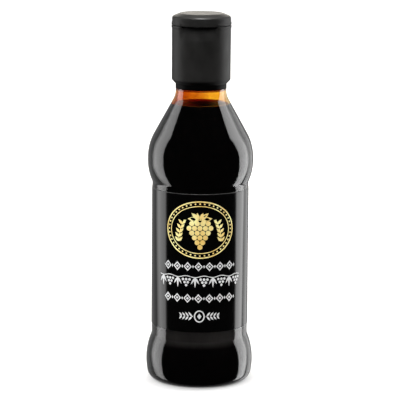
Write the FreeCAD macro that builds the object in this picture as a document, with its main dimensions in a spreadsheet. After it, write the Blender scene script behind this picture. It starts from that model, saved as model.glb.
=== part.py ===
"""Balsamic glaze bottle: a clear squeeze bottle with a flip-top cap, a wrap label and its contents.

The frame: +Z is up, the origin is on the floor under the bottle's axis, and the thumb recess of the
cap and the front of the label face -Y. All sizes are in millimetres and degrees.
"""

import os

import FreeCAD
import Part
import Sketcher

SIZES = [
    # the blown bottle, from the floor up
    ("base_bulge_dia", 53.9, "widest diameter of the base bulge"),
    ("base_bulge_height", 10.5, "height of that widest ring above the floor"),
    ("base_side_arc", 33.5, "radius of the base bulge's side, seen in section"),
    ("base_corner_arc", 5.5, "radius between the side and the floor"),
    ("stand_ring_width", 4.0, "width of the flat ring that the bottle stands on"),
    ("push_up_depth", 2.4, "height of the hollow under the base"),
    ("panel_dia", 48.4, "diameter of the straight label panel"),
    ("panel_foot_round", 1.5, "concave rounding between base bulge and panel"),
    ("panel_head_round", 3.0, "concave rounding between panel and shoulder bulge"),
    ("panel_length", 77.1, "from the foot rounding to the head rounding"),
    ("shoulder_bulge_dia", 53.1, "widest diameter of the shoulder bulge"),
    ("shoulder_arc", 25.5, "radius of the shoulder bulge, seen in section"),
    ("shoulder_band", 1.6, "upright stretch between the bulge's two arcs"),
    ("cone_angle", 29.0, "half angle of the cone that leads up to the neck"),
    ("neck_dia", 25.5, "diameter of the bare neck"),
    ("neck_round", 9.0, "concave rounding between cone and neck"),
    ("neck_straight", 1.17, "straight part of the bare neck"),
    ("wall", 0.7, "thickness of the blown wall"),
    ("finish_dia", 23.8, "diameter of the neck inside the cap"),
    ("finish_wall", 1.3, "wall of the neck inside the cap"),
    ("finish_length", 22.0, "length of the neck inside the band and the cap"),
    # contents and label
    ("fill_drop", 7.8, "from the top of the bare neck down to the glaze"),
    ("fill_gap", 0.05, "clearance between the wall and the glaze"),
    ("label_margin_foot", 5.0, "bare panel under the label, down to the rounding"),
    ("label_margin_head", 2.0, "bare panel over the label, up to the rounding"),
    ("label_thickness", 0.2, "thickness of the wrap label"),
    ("label_gap", 0.02, "clearance between the panel and the label"),
    # cap
    ("fit_gap", 0.1, "running gap between the neck and what sits round it"),
    ("band_dia", 25.65, "diameter of the narrow band under the cap"),
    ("band_height", 2.55, "height of that band"),
    ("skirt_foot_dia", 29.5, "diameter of the cap's skirt at its foot"),
    ("skirt_head_dia", 29.75, "diameter of the cap's skirt at its head"),
    ("skirt_height", 29.13, "from the band to the lid"),
    ("skirt_chamfer_width", 1.7, "width of the chamfer round the skirt's foot"),
    ("skirt_chamfer_height", 1.8, "height of that chamfer"),
    ("lip_reach", 0.2, "how far the lips at the seam stand proud"),
    ("lip_height", 1.2, "height of each lip"),
    ("cap_turn", -5.4, "angle by which the cap is turned on the neck, seen from above"),
    ("seam_width", 0.2, "height of the seam between skirt and lid"),
    ("seam_depth", 1.4, "depth of the seam"),
    ("lid_height", 5.87, "height of the lid"),
    ("lid_head_dia", 29.4, "diameter of the lid where its chamfer starts"),
    ("lid_chamfer_width", 4.1, "width of the lid's top chamfer"),
    ("lid_chamfer_height", 1.55, "height of the lid's top chamfer"),
    ("lid_edge_round", 0.6, "rounding of the edges of that chamfer"),
    ("recess_span", 76.0, "angle round the cap that the thumb recess takes"),
    ("recess_height", 6.8, "height of the thumb recess in the skirt"),
    ("recess_depth", 0.9, "depth of the thumb recess at the head of its ramp"),
    ("slot_height", 0.6, "height of the slot between the recess and the lid"),
    ("hinge_span", 40.0, "angle round the cap that the hinge strap takes"),
    ("hinge_thickness", 0.5, "thickness of the hinge strap"),
]


def make_sheet(doc):
    """The spreadsheet of driving sizes: name, value and meaning in each row."""
    sheet = doc.addObject("Spreadsheet::Sheet", "sizes")
    for row, (alias, number, meaning) in enumerate(SIZES, start=1):
        sheet.set(f"A{row}", alias)
        sheet.set(f"B{row}", str(number))
        sheet.setAlias(f"B{row}", alias)
        sheet.set(f"C{row}", meaning)
    doc.recompute()
    return sheet


TINY = 1e-4  # millimetres, for comparing places


def size(alias):
    """A cell of the spreadsheet, as part of an expression."""
    return f"sizes.{alias}"


# Worked-out values, as expressions on the spreadsheet's cells.
PANEL_R = "(sizes.panel_dia / 2)"
NECK_R = "(sizes.neck_dia / 2)"
FINISH_R = "(sizes.finish_dia / 2)"
BORE_R = "(sizes.finish_dia / 2 - sizes.finish_wall)"
BASE_ARC_X = "(sizes.base_bulge_dia / 2 - sizes.base_side_arc)"
CORNER_SPAN = "(sizes.base_side_arc - sizes.base_corner_arc)"
CORNER_DROP = "(sizes.base_bulge_height - sizes.base_corner_arc)"
CORNER_X = f"({BASE_ARC_X} + sqrt({CORNER_SPAN} ^ 2 - {CORNER_DROP} ^ 2))"
FOOT_ROUND_X = f"({PANEL_R} + sizes.panel_foot_round)"
FOOT_REACH = "(sizes.base_side_arc + sizes.panel_foot_round)"
FOOT_Z = f"(sizes.base_bulge_height + sqrt({FOOT_REACH} ^ 2 - ({FOOT_ROUND_X} - {BASE_ARC_X}) ^ 2))"
HEAD_Z = f"({FOOT_Z} + sizes.panel_length)"
SHOULDER_X = "(sizes.shoulder_bulge_dia / 2 - sizes.shoulder_arc)"
HEAD_ROUND_X = f"({PANEL_R} + sizes.panel_head_round)"
HEAD_REACH = "(sizes.shoulder_arc + sizes.panel_head_round)"
SHOULDER_LOW_Z = f"({HEAD_Z} + sqrt({HEAD_REACH} ^ 2 - ({HEAD_ROUND_X} - {SHOULDER_X}) ^ 2))"
SHOULDER_HIGH_Z = f"({SHOULDER_LOW_Z} + sizes.shoulder_band)"
NECK_ROUND_X = f"({NECK_R} + sizes.neck_round)"
CONE_RISE = (
    f"((sizes.shoulder_arc + sizes.neck_round - ({NECK_ROUND_X} - {SHOULDER_X})"
    " * cos(sizes.cone_angle)) / sin(sizes.cone_angle))"
)
NECK_FOOT_Z = f"({SHOULDER_HIGH_Z} + {CONE_RISE})"
NECK_TOP_Z = f"({NECK_FOOT_Z} + sizes.neck_straight)"
RIM_Z = f"({NECK_TOP_Z} + sizes.finish_length)"
BAND_TOP_Z = f"({NECK_TOP_Z} + sizes.band_height)"
SKIRT_TOP_Z = f"({BAND_TOP_Z} + sizes.skirt_height)"
FILL_Z = f"({NECK_TOP_Z} - sizes.fill_drop)"
RING_X = f"({CORNER_X} - sizes.stand_ring_width)"
DOME_R = f"(({RING_X} ^ 2 + sizes.push_up_depth ^ 2) / (2 * sizes.push_up_depth))"
SKIRT_HEAD_R = "(sizes.skirt_head_dia / 2)"
LIP_R = f"({SKIRT_HEAD_R} + sizes.lip_reach)"
LIP_FOOT_Z = f"({SKIRT_TOP_Z} - sizes.lip_height)"
SEAM_TOP_Z = f"({SKIRT_TOP_Z} + sizes.seam_width)"
LIP_TOP_Z = f"({SEAM_TOP_Z} + sizes.lip_height)"
OFF_FRONT = f"(-{LIP_R} - sizes.lip_reach)"


class Outline:
    """A closed section in a sketch, whose points and radii are bound to the spreadsheet."""

    def __init__(self, body, name, plane_role):
        self.sheet = body.Document.getObject("sizes")
        self.sketch = body.newObject("Sketcher::SketchObject", name)
        plane = next(f for f in body.Origin.OriginFeatures if f.Role == plane_role)
        self.sketch.AttachmentSupport = [(plane, "")]
        self.sketch.MapMode = "FlatFace"
        self.bound = []

    def value(self, expression):
        """The number that an expression comes to with the sizes as they stand."""
        return float(self.sheet.evalExpression(f"({expression}) * 1.0"))

    def close(self, corners):
        """Draws the section through corners: (x, y), or (x, y, radius, side) where an arc leads there.

        side is +1 where the arc's centre lies to the left of the way it runs, and -1 to the right.
        """
        points = [FreeCAD.Vector(self.value(c[0]), self.value(c[1]), 0) for c in corners]
        count = len(corners)
        for i, corner in enumerate(corners):
            start, end = points[i - 1], points[i]
            if len(corner) == 2:
                self.sketch.addGeometry(Part.LineSegment(start, end), False)
            else:
                self.sketch.addGeometry(arc_between(start, end, self.value(corner[2]), corner[3]), False)
        for i, corner in enumerate(corners):
            # edge i ends at corner i, and the next edge starts there
            following = (i + 1) % count
            this_end = self.end_of(corners, i)
            self.constrain("Coincident", i, this_end, following, self.start_of(corners, following))
        for i, corner in enumerate(corners):
            self.pin(i, self.end_of(corners, i), corner[0], corner[1])
            if len(corner) > 2:
                self.bind("Radius", i, self.value(corner[2]), corner[2])
        for index, expression in self.bound:
            self.sketch.setExpression(f"Constraints[{index}]", expression)
        return self.sketch

    @staticmethod
    def end_of(corners, i):
        """Sketcher's number for the end of edge i: an arc drawn clockwise has its ends the other way."""
        return 1 if len(corners[i]) > 2 and corners[i][3] < 0 else 2

    @staticmethod
    def start_of(corners, i):
        return 3 - Outline.end_of(corners, i)

    def constrain(self, kind, *details):
        return self.sketch.addConstraint(Sketcher.Constraint(kind, *details))

    def pin(self, edge, end, x, y):
        """Holds a corner at x, y, as signed distances from the sketch's origin."""
        for kind, expression in (("DistanceX", x), ("DistanceY", y)):
            number = self.value(expression)
            index = self.constrain(kind, -1, 1, edge, end, number)
            self.bound.append((index, expression))

    def bind(self, kind, edge, number, expression):
        self.bound.append((self.constrain(kind, edge, number), expression))


def arc_between(start, end, radius, side):
    """The shorter arc of that radius from start to end, with its centre on the given side."""
    chord = end - start
    middle = (start + end) / 2
    left = FreeCAD.Vector(-chord.y, chord.x, 0).normalize()
    height = (radius**2 - (chord.Length / 2) ** 2) ** 0.5
    centre = middle + left * height * side
    outward = (middle - centre).normalize()
    return Part.Arc(start, centre + outward * radius, end)


def revolved(doc, label, name, corners, plane="XZ_Plane", span="360"):
    """A body made by turning a closed section about Z, over a span that the section halves."""
    body = doc.addObject("PartDesign::Body", name)
    body.Label = label
    sketch = Outline(body, f"{name}_section", plane).close(corners)
    turn = body.newObject("PartDesign::Revolution", f"{name}_turn")
    turn.Profile = sketch
    turn.ReferenceAxis = (sketch, ["V_Axis"])
    turn.Midplane = True
    turn.setExpression("Angle", span)
    doc.recompute()
    return body


def grooved(body, name, corners, span):
    """Cuts a section out of the front of a body, over an angle about Z that is centred on -Y."""
    sketch = Outline(body, f"{name}_section", "YZ_Plane").close(corners)
    before = body.Shape.Volume
    groove = body.newObject("PartDesign::Groove", f"{name}_cut")
    groove.Profile = sketch
    groove.ReferenceAxis = (sketch, ["V_Axis"])
    groove.Midplane = True
    groove.setExpression("Angle", span)
    body.Document.recompute()
    if not body.Shape.Volume < before:
        raise RuntimeError(f"{name} cuts nothing")


def on_arc(centre_x, centre_z, radius, along_x, along_z):
    """The point at radius from a centre, in the direction of (along_x, along_z), as two expressions."""
    length = f"sqrt(({along_x}) ^ 2 + ({along_z}) ^ 2)"
    return (
        f"{centre_x} + ({radius}) * ({along_x}) / {length}",
        f"{centre_z} + ({radius}) * ({along_z}) / {length}",
    )


def on_cone(centre_x, centre_z, radius):
    """The point where an arc about a centre runs tangent into the cone, as two expressions."""
    return (
        f"{centre_x} + ({radius}) * cos(sizes.cone_angle)",
        f"{centre_z} + ({radius}) * sin(sizes.cone_angle)",
    )


def blown_wall(inset):
    """Corners of the bottle's section from the stand ring up to the neck, moved inwards by inset."""
    corner_r = f"sizes.base_corner_arc - {inset}"
    side_r = f"sizes.base_side_arc - {inset}"
    foot_r = f"sizes.panel_foot_round + {inset}"
    head_r = f"sizes.panel_head_round + {inset}"
    bulge_r = f"sizes.shoulder_arc - {inset}"
    neck_r = f"sizes.neck_round + {inset}"
    corner_end = on_arc(
        CORNER_X, size("base_corner_arc"), corner_r, f"{CORNER_X} - {BASE_ARC_X}", f"-{CORNER_DROP}"
    )
    side_end = on_arc(
        BASE_ARC_X,
        size("base_bulge_height"),
        side_r,
        f"{FOOT_ROUND_X} - {BASE_ARC_X}",
        f"{FOOT_Z} - sizes.base_bulge_height",
    )
    head_end = on_arc(
        SHOULDER_X, SHOULDER_LOW_Z, bulge_r, f"{HEAD_ROUND_X} - {SHOULDER_X}", f"{HEAD_Z} - {SHOULDER_LOW_Z}"
    )
    widest = f"sizes.shoulder_bulge_dia / 2 - {inset}"
    return [
        (*corner_end, corner_r, 1),
        (*side_end, side_r, 1),
        (f"{PANEL_R} - {inset}", FOOT_Z, foot_r, -1),
        (f"{PANEL_R} - {inset}", HEAD_Z),
        (*head_end, head_r, -1),
        (widest, SHOULDER_LOW_Z, bulge_r, 1),
        (widest, SHOULDER_HIGH_Z),
        (*on_cone(SHOULDER_X, SHOULDER_HIGH_Z, bulge_r), bulge_r, 1),
        on_cone(NECK_ROUND_X, NECK_FOOT_Z, f"-({neck_r})"),
        (f"{NECK_R} - {inset}", NECK_FOOT_Z, neck_r, -1),
    ]


def cavity_body(doc, label, name, inset):
    """The space inside the blown wall, shrunk by inset from the bottle's outside, up to the rim."""
    return revolved(
        doc,
        label,
        name,
        [
            ("0", f"sizes.push_up_depth + {inset}"),
            (RING_X, inset, DOME_R, -1),
            (CORNER_X, inset),
            *blown_wall(inset),
            (f"{NECK_R} - {inset}", f"{NECK_TOP_Z} - {inset}"),
            (BORE_R, f"{NECK_TOP_Z} - {inset}"),
            (BORE_R, RIM_Z),
            ("0", RIM_Z),
        ],
    )


def make_bottle(doc):
    """The blown wall: a solid blank less the cavity."""
    blank = revolved(
        doc,
        "bottle blank",
        "blank",
        [
            ("0", size("push_up_depth")),
            (RING_X, "0", DOME_R, -1),
            (CORNER_X, "0"),
            *blown_wall("0"),
            (NECK_R, NECK_TOP_Z),
            (FINISH_R, NECK_TOP_Z),
            (FINISH_R, RIM_Z),
            ("0", RIM_Z),
        ],
    )
    bottle = doc.addObject("Part::Cut", "bottle")
    bottle.Base = blank
    bottle.Tool = cavity_body(doc, "cavity", "cavity", size("wall"))
    bottle.Label = "bottle"
    return bottle


def make_glaze(doc):
    """The contents, which fill the cavity up to their level in the cone."""
    level = doc.addObject("Part::Cylinder", "fill_level")
    level.setExpression("Radius", "sizes.base_bulge_dia + sizes.shoulder_bulge_dia")
    level.setExpression("Height", FILL_Z)
    glaze = doc.addObject("Part::Common", "glaze")
    glaze.Base = cavity_body(doc, "room for the glaze", "glaze_room", "(sizes.wall + sizes.fill_gap)")
    glaze.Tool = level
    glaze.Label = "glaze"
    return glaze


def make_label(doc):
    """The wrap label, a thin sleeve on the panel."""
    foot = f"({FOOT_Z} + sizes.label_margin_foot)"
    head = f"({HEAD_Z} - sizes.label_margin_head)"
    inner = f"({PANEL_R} + sizes.label_gap)"
    outer = f"({PANEL_R} + sizes.label_thickness)"
    return revolved(doc, "label", "label", [(inner, foot), (outer, foot), (outer, head), (inner, head)])


def turn_with_cap(piece):
    """Turns a piece of the cap about the bottle's axis, as far as the cap is screwed on."""
    piece.Placement = FreeCAD.Placement(FreeCAD.Vector(), FreeCAD.Rotation(FreeCAD.Vector(0, 0, 1), 1))
    piece.setExpression("Placement.Rotation.Angle", size("cap_turn"))


def make_band(doc):
    """The narrow band between the bare neck and the cap."""
    inner = f"({FINISH_R} + sizes.fit_gap)"
    outer = "(sizes.band_dia / 2)"
    return revolved(
        doc,
        "neck_band",
        "neck_band",
        [(inner, NECK_TOP_Z), (outer, NECK_TOP_Z), (outer, BAND_TOP_Z), (inner, BAND_TOP_Z)],
    )


def make_skirt(doc):
    """The cap's skirt: tapered, chamfered at its foot, with a lip at its head.

    The thumb recess is a ramp in its front that ends in a slot under the lid, as deep as the seam.
    """
    bore = f"({FINISH_R} + sizes.fit_gap)"
    foot_r = "(sizes.skirt_foot_dia / 2)"
    skirt = revolved(
        doc,
        "cap_skirt",
        "cap_skirt",
        [
            (bore, BAND_TOP_Z),
            (f"{foot_r} - sizes.skirt_chamfer_width", BAND_TOP_Z),
            (foot_r, f"{BAND_TOP_Z} + sizes.skirt_chamfer_height"),
            (SKIRT_HEAD_R, f"{LIP_FOOT_Z} - sizes.lip_reach"),
            (LIP_R, LIP_FOOT_Z),
            (LIP_R, SKIRT_TOP_Z),
            ("0", SKIRT_TOP_Z),
            ("0", RIM_Z),
            (bore, RIM_Z),
        ],
    )
    floor = f"({SKIRT_TOP_Z} - sizes.recess_height)"
    slot_foot = f"({SKIRT_TOP_Z} - sizes.slot_height)"
    back = f"(sizes.recess_depth - {SKIRT_HEAD_R})"
    slot_back = f"(sizes.seam_depth - {SKIRT_HEAD_R})"
    grooved(
        skirt,
        "thumb_recess",
        [
            (OFF_FRONT, floor),
            (f"-{SKIRT_HEAD_R}", floor),
            (back, slot_foot),
            (slot_back, slot_foot),
            (slot_back, SEAM_TOP_Z),
            (OFF_FRONT, SEAM_TOP_Z),
        ],
        size("recess_span"),
    )
    turn_with_cap(skirt)
    return skirt


def make_lid(doc):
    """The flip lid, shut: a lip over the seam, flush over the thumb recess, and a chamfered top."""
    seat_r = f"({SKIRT_HEAD_R} - sizes.seam_depth)"
    lid_head_r = "(sizes.lid_head_dia / 2)"
    lid_top_z = f"({SKIRT_TOP_Z} + sizes.lid_height)"
    lid = revolved(
        doc,
        "cap_lid",
        "cap_lid",
        [
            ("0", SKIRT_TOP_Z),
            (seat_r, SKIRT_TOP_Z),
            (seat_r, SEAM_TOP_Z),
            (LIP_R, SEAM_TOP_Z),
            (LIP_R, LIP_TOP_Z),
            (SKIRT_HEAD_R, f"{LIP_TOP_Z} + sizes.lip_reach"),
            (lid_head_r, f"{lid_top_z} - sizes.lid_chamfer_height"),
            (f"{lid_head_r} - sizes.lid_chamfer_width", lid_top_z),
            ("0", lid_top_z),
        ],
    )
    sheet = doc.getObject("sizes")
    rounding = lid.newObject("PartDesign::Fillet", "lid_rounding")
    rounding.Base = (lid.getObject("cap_lid_turn"), top_edges(lid.Shape, sheet.lid_chamfer_height))
    rounding.setExpression("Radius", size("lid_edge_round"))
    lid.Tip = rounding
    doc.recompute()
    lip_end = f"{LIP_TOP_Z} + sizes.lip_reach"
    grooved(
        lid,
        "flush_front",
        [
            (OFF_FRONT, SEAM_TOP_Z),
            (f"-{SKIRT_HEAD_R}", SEAM_TOP_Z),
            (f"-{SKIRT_HEAD_R}", lip_end),
            (OFF_FRONT, lip_end),
        ],
        size("recess_span"),
    )
    turn_with_cap(lid)
    return lid


def top_edges(shape, depth):
    """Names of the circular edges round a turned shape's outside that lie within depth of its top."""
    lowest = shape.BoundBox.ZMax - depth - TINY
    names = []
    for number, edge in enumerate(shape.Edges, start=1):
        round_edge = isinstance(edge.Curve, Part.Circle)
        if round_edge and edge.BoundBox.ZLength < TINY and edge.BoundBox.ZMin > lowest:
            names.append(f"Edge{number}")
    return names


def make_hinge(doc):
    """The hinge strap at the back, which bridges the two lips."""
    outer = f"({LIP_R} + sizes.hinge_thickness)"
    hinge = revolved(
        doc,
        "cap_hinge",
        "cap_hinge",
        [(LIP_R, LIP_FOOT_Z), (outer, LIP_FOOT_Z), (outer, LIP_TOP_Z), (LIP_R, LIP_TOP_Z)],
        plane="YZ_Plane",
        span=size("hinge_span"),
    )
    turn_with_cap(hinge)
    return hinge


def check(doc, parts):
    """Stops the script if any object failed or any sub-part isn't a sound solid."""
    for item in doc.Objects:
        if "Invalid" in item.State or "Error" in item.State:
            raise RuntimeError(f"{item.Name} failed: {item.State}")
    for part in parts:
        if part.Shape.isNull() or not part.Shape.isValid() or len(part.Shape.Solids) != 1:
            raise RuntimeError(f"{part.Label} isn't one sound solid")


def main():
    doc = FreeCAD.newDocument("glaze_bottle")
    make_sheet(doc)
    makers = [make_bottle, make_glaze, make_label, make_band, make_skirt, make_lid, make_hinge]
    parts = [make(doc) for make in makers]
    doc.recompute()
    check(doc, parts)
    os.makedirs("parts", exist_ok=True)
    for part in parts:
        part.Shape.exportStep(f"parts/{part.Label}.step")
        box = part.Shape.BoundBox
        print(f"{part.Label}: z {box.ZMin:.2f} to {box.ZMax:.2f} mm, {part.Shape.Volume:.0f} mm3")


main()
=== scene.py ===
# %% [markdown]
# # A bottle of balsamic glaze
# The real object is a slim blown bottle of clear plastic, filled with a syrup that is almost black,
# wrapped in a black label and shut with a black flip-top cap. Nearly everything on it is dark and
# glossy, so what the eye reads is the shape of the reflections, the amber neck and the print.
# The frame that comes from CAD gives the heights and widths. This lesson dresses that frame.

# %% Load the frame
import math

import bmesh
import bpy
from mathutils import Matrix, Vector


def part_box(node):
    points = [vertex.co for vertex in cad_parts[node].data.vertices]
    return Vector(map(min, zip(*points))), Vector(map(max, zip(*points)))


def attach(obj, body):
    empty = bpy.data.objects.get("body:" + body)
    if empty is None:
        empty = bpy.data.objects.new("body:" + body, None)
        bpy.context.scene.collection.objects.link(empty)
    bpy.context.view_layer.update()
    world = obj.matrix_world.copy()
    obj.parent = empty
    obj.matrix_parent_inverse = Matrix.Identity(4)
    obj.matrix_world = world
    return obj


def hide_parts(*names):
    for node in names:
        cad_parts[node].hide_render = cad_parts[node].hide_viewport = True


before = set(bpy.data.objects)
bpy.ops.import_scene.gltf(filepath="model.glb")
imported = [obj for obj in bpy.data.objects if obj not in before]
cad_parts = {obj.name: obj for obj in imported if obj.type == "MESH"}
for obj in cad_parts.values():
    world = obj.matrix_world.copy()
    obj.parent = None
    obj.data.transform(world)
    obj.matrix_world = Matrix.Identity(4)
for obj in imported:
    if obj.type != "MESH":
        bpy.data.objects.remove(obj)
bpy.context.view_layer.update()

MM = 0.001
print("nodes in the frame:", ", ".join(sorted(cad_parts)))

# %% [markdown]
# ## Sizes
# The pieces of the real object fit one another: the label lies on the panel and the cap on the neck.
# Every size could be typed in, but then a change in CAD would pull the pieces apart. So heights and
# widths are read from the frame's nodes, in millimetres. What a box can't say, such as the radius of
# an arc or the thickness of the wall, is written once below.

# %% Sizes in millimetres
def node_sizes(node):
    """A node's outer radius, its foot and its head, in millimetres."""
    low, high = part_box(node)
    width = min(high[0] - low[0], high[1] - low[1])
    return width / 2 / MM, low[2] / MM, high[2] / MM


bulge_r, _, rim_z = node_sizes("bottle")
label_r, label_foot_z, label_head_z = node_sizes("label")
band_r, neck_top_z, band_top_z = node_sizes("neck_band")
lip_r, _, skirt_top_z = node_sizes("cap_skirt")
_, _, lid_top_z = node_sizes("cap_lid")
_, hinge_foot_z, hinge_head_z = node_sizes("cap_hinge")
_, _, level_z = node_sizes("glaze")

label_thickness = 0.2
panel_r = label_r - label_thickness
wall = 0.7

base_widest_z = 10.5
base_side_arc = 33.5
base_corner_arc = 5.5
stand_ring_width = 4.0
push_up = 2.4
foot_round = 1.5
head_round = 3.0
foot_z = label_foot_z - 5.0
head_z = label_head_z + 2.0

shoulder_r = 26.55
shoulder_arc = 25.5
shoulder_band = 1.6
cone_angle = 29.0
neck_r = 12.75
neck_round = 9.0
finish_r = 11.9
bore_r = 10.6
print(f"bottle {2 * bulge_r:.1f} mm wide, {lid_top_z:.1f} mm tall, filled to {level_z:.1f} mm")

# %% [markdown]
# ## The line of the wall
# A blown bottle is a body of revolution. It could be shaped by hand from a cylinder, but one line in
# section says everything about it: a corner and a long arc at the base, a straight panel for the label,
# a round shoulder, a cone and the neck. Each stretch is an arc that meets the next one without a kink.
# Moved inwards by the wall, the line is the inside, and by a little less, it is the syrup's skin.

# %% Arcs and the wall's section
def arc(centre, radius, start, end, steps=12):
    """Points on an arc. Angles are in degrees, from outwards towards up."""
    turns = [math.radians(start + (end - start) * k / steps) for k in range(steps + 1)]
    return [(centre[0] + radius * math.cos(a), centre[1] + radius * math.sin(a)) for a in turns]


def heading(start, end):
    """The direction from one point to another, in degrees."""
    return math.degrees(math.atan2(end[1] - start[1], end[0] - start[0]))


def wall_line(inset):
    """The wall from the middle of the base to the top of the bare neck, moved inwards by inset."""
    base = (bulge_r - base_side_arc, base_widest_z)
    corner_z = base_corner_arc
    reach = base_side_arc - base_corner_arc
    corner = (base[0] + math.sqrt(reach**2 - (base_widest_z - corner_z) ** 2), corner_z)
    ring_r = corner[0] - stand_ring_width
    dome_r = (ring_r**2 + push_up**2) / (2 * push_up)
    dome_edge = math.degrees(math.asin(ring_r / dome_r))
    foot = (panel_r + foot_round, foot_z)
    head = (panel_r + head_round, head_z)
    shoulder_x = shoulder_r - shoulder_arc
    rise = math.sqrt((shoulder_arc + head_round) ** 2 - (head[0] - shoulder_x) ** 2)
    low = (shoulder_x, head_z + rise)
    high = (shoulder_x, low[1] + shoulder_band)
    slope = math.radians(cone_angle)
    across = neck_r + neck_round - shoulder_x
    cone_rise = (shoulder_arc + neck_round - across * math.cos(slope)) / math.sin(slope)
    neck = (neck_r + neck_round, high[1] + cone_rise)

    line = arc((0.0, push_up - dome_r + inset), dome_r, 90, 90 - dome_edge, 10)
    line += arc(corner, corner_z - inset, -90, heading(base, corner))
    line += arc(base, base_side_arc - inset, heading(base, corner), heading(base, foot), 24)[1:]
    line += arc(foot, foot_round + inset, heading(foot, base) % 360, 180, 8)[1:]
    line += arc(head, head_round + inset, 180, heading(head, low), 10)
    line += arc(low, shoulder_arc - inset, heading(head, low) - 180, 0, 20)[1:]
    line += arc(high, shoulder_arc - inset, 0, cone_angle, 20)
    line += arc(neck, neck_round + inset, 180 + cone_angle, 180, 14)
    return line


outside = wall_line(0.0)
print(f"the wall's line has {len(outside)} points and ends {outside[-1][1]:.2f} mm up")

# %% [markdown]
# ## Turning a section with Geometry Nodes
# Spin in an edit-mode mesh would do this too, but a node tree keeps the rule in sight: a grid has one
# row for each point of the section and one column for each step round the axis, and Set Position
# rolls it up. Merge by Distance closes the seam and the poles, and the last nodes give the material.

# %% Helpers for node trees
def link(tree, start, end):
    tree.links.new(start, end)


def node(tree, kind, *inputs, **settings):
    """Adds a node, sets its properties and fills its inputs in order: None leaves one as it is."""
    made = tree.nodes.new(kind)
    for name, value in settings.items():
        setattr(made, name, value)
    sockets = [s for s in made.inputs if s.enabled]
    for socket, value in zip(sockets, inputs):
        if isinstance(value, bpy.types.NodeSocket):
            link(tree, value, socket)
        elif value is not None:
            socket.default_value = value
    return made


def maths(tree, operation, *inputs):
    return node(tree, "ShaderNodeMath", *inputs, operation=operation).outputs[0]


def ramp(tree, value, low, high, start=0.0, end=1.0):
    """Runs from start to end while the value runs from low to high, and is level past them."""
    return node(tree, "ShaderNodeMapRange", value, low, high, start, end).outputs[0]


def split(tree, vector):
    """The X, Y and Z of a vector, as the outputs of one node."""
    return node(tree, "ShaderNodeSeparateXYZ", vector).outputs


def new_group(name, sockets):
    """A Geometry Nodes group with a geometry input and output and the named inputs."""
    tree = bpy.data.node_groups.new(name, "GeometryNodeTree")
    face = tree.interface
    face.new_socket("Geometry", in_out="INPUT", socket_type="NodeSocketGeometry")
    for title, kind in sockets:
        face.new_socket(title, in_out="INPUT", socket_type=kind)
    face.new_socket("Geometry", in_out="OUTPUT", socket_type="NodeSocketGeometry")
    return tree, tree.nodes.new("NodeGroupInput"), tree.nodes.new("NodeGroupOutput")


def finish_tree(tree, shape, material, group_out):
    """Ends a tree: real faces, a material, smooth shading."""
    real = node(tree, "GeometryNodeRealizeInstances", shape)
    smooth = node(tree, "GeometryNodeSetShadeSmooth", real.outputs[0])
    painted = node(tree, "GeometryNodeSetMaterial", smooth.outputs[0])
    link(tree, material, painted.inputs["Material"])
    link(tree, painted.outputs[0], group_out.inputs[0])


def new_object(name, data):
    """An object of the scene: a mesh, a lamp or a camera."""
    made = bpy.data.objects.new(name, data)
    bpy.context.collection.objects.link(made)
    return made


def apply_tree(name, mesh, tree, values):
    """Runs a node group on a mesh and returns the result as a plain object."""
    source = new_object(name + "_source", mesh)
    modifier = source.modifiers.new("shape", "NODES")
    modifier.node_group = tree
    for item in tree.interface.items_tree:
        if item.in_out == "INPUT" and item.name in values:
            modifier[item.identifier] = values[item.name]
    graph = bpy.context.evaluated_depsgraph_get()
    result = bpy.data.meshes.new_from_object(source.evaluated_get(graph))
    result.name = name
    for slot in reversed(range(len(result.materials))):
        if result.materials[slot] is None:
            result.materials.pop(index=slot)
    source.modifiers.remove(modifier)
    bpy.data.objects.remove(source)
    return new_object(name, result)


# %% The turning tree
weld = 0.001
crease = 35.0


def welded(tree, shape):
    """Joins the points that lie on one another."""
    merged = node(tree, "GeometryNodeMergeByDistance", shape)
    merged.inputs["Distance"].default_value = weld * MM
    return merged.outputs[0]


def rolled(tree, shape, radius, turn, height):
    """Puts every point of a shape at a radius, a turn from the front, in radians, and a height."""
    across = maths(tree, "MULTIPLY", radius, maths(tree, "SINE", turn))
    along = maths(tree, "MULTIPLY", radius, maths(tree, "COSINE", turn))
    back = maths(tree, "MULTIPLY", along, -1.0)
    place = node(tree, "ShaderNodeCombineXYZ", across, back, height)
    moved = node(tree, "GeometryNodeSetPosition", shape)
    link(tree, place.outputs[0], moved.inputs["Position"])
    return moved.outputs[0]


def turning_tree():
    sockets = [("Segments", "NodeSocketInt"), ("Material", "NodeSocketMaterial")]
    tree, into, out = new_group("Turned round the axis", sockets)
    section = into.outputs["Geometry"]
    segments = into.outputs["Segments"]
    columns = maths(tree, "ADD", segments, 1)
    size = node(tree, "GeometryNodeAttributeDomainSize", section)
    grid = node(tree, "GeometryNodeMeshGrid", None, None, size.outputs["Point Count"], columns)
    index = node(tree, "GeometryNodeInputIndex").outputs[0]
    row = maths(tree, "FLOOR", maths(tree, "DIVIDE", index, columns))
    column = maths(tree, "SUBTRACT", index, maths(tree, "MULTIPLY", row, columns))
    place = node(tree, "GeometryNodeInputPosition").outputs[0]
    on_line = node(tree, "GeometryNodeSampleIndex", section, place, row, data_type="FLOAT_VECTOR")
    parts = split(tree, on_line.outputs[0])
    turn = maths(tree, "MULTIPLY", maths(tree, "DIVIDE", column, segments), math.tau)
    skin = rolled(tree, grid.outputs["Mesh"], parts["X"], turn, parts["Z"])
    finish_tree(tree, welded(tree, skin), into.outputs["Material"], out)
    return tree


turning = turning_tree()
print("turning tree:", len(turning.nodes), "nodes")

# %% [markdown]
# ## From a section to a piece
# The edges of a moulded piece are never quite sharp, and they draw its thin highlights. A Bevel
# modifier could round them afterwards. Rounding the corners of the section first is exact, and it
# keeps the mesh small. The faces are then pointed outwards, and steep creases are marked sharp.

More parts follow.
